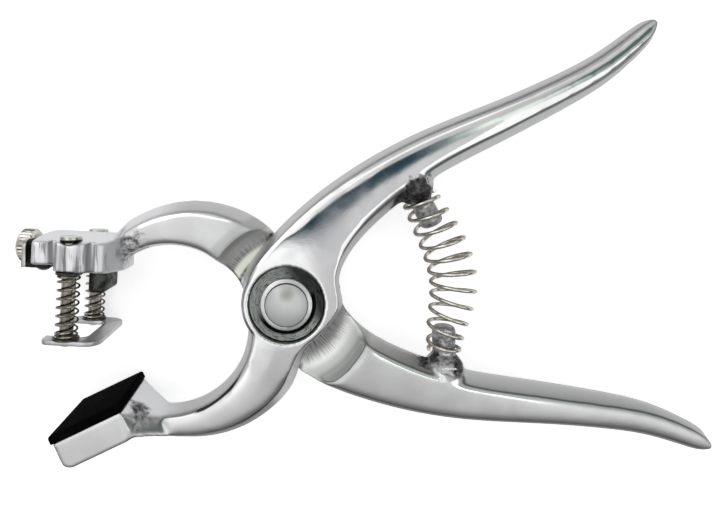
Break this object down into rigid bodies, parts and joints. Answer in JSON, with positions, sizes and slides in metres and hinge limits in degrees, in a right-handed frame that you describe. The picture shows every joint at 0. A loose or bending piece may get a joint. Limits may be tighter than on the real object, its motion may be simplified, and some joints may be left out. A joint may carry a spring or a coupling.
{
  "type": "ear tattoo pliers",
  "caption": "Hand pliers with a sprung pair of cast levers, a die-holding head with a sprung ejector and clamping screw on one jaw, and a padded anvil on the other.",
  "frame": {"origin": "centre of the pivot nut's flat back face", "axes": "+X along the pliers from the jaws to the handles, +Y from the anvil jaw to the head jaw, +Z along the pivot axis towards the domed bolt head"},
  "size_m": [0.2125, 0.1325, 0.0297],
  "materials": {
    "cast_lever": "hand-polished casting with satin faces",
    "rubber": "matte black",
    "plated_steel": "bright zinc plate",
    "spring_wire": "nickel-plated wire",
    "nickel_brass": "nickel-plated",
    "zinc": "dark blackened casting"
  },
  "bodies": {
    "anvil_side": {"anvil_lever": "cast_lever", "rubber_pad": "rubber", "pivot_bolt": "plated_steel", "pivot_washer_front": "plated_steel", "pivot_washer_rear": "plated_steel", "pivot_nut": "plated_steel", "return_spring": "spring_wire"},
    "head_side": {"head_lever": "cast_lever", "end_bracket": "plated_steel", "bracket_screw_near": "plated_steel", "bracket_screw_far": "plated_steel", "stop_block": "zinc", "washer_top_near": "plated_steel", "washer_top_far": "plated_steel", "pin_spring_near": "spring_wire", "pin_spring_far": "spring_wire"},
    "ejector": {"ejector_frame": "plated_steel", "guide_pin_near": "nickel_brass", "guide_pin_far": "nickel_brass", "pin_screw_near": "plated_steel", "pin_screw_far": "plated_steel", "washer_bottom_near": "plated_steel", "washer_bottom_far": "plated_steel"},
    "plate": {"pressure_plate": "plated_steel"},
    "screw": {"clamp_screw": "nickel_brass"}
  },
  "joints": [
    {"name": "lever_hinge", "type": "hinge", "parent": "anvil_side", "child": "head_side", "pos_m": [0, 0, 0.00795], "axis": [0, 0, 1], "range_deg": [0, 28.6], "stiffness_Nm_per_rad": 0.6, "springref_deg": -34.38, "deforming": ["return_spring"]},
    {"name": "ejector_slide", "type": "slide", "parent": "head_side", "child": "ejector", "axis": [0.0523, 0.9986, 0], "range_m": [0, 0.012], "deforming": ["pin_spring_near", "pin_spring_far"]},
    {"name": "plate_slide", "type": "slide", "parent": "head_side", "child": "plate", "axis": [0.9986, -0.0523, 0], "range_m": [-0.01, 0]},
    {"name": "screw_turn", "type": "hinge", "parent": "plate", "child": "screw", "pos_m": [-0.0775, 0.01688, 0.00795], "axis": [0.9986, -0.0523, 0], "range_deg": [-4500, 0]}
  ],
  "couplings": [
    {"joint": "ejector_slide", "follows": "lever_hinge", "m_per_rad": 0.024},
    {"joint": "screw_turn", "follows": "plate_slide", "rad_per_m": 7853}
  ]
}
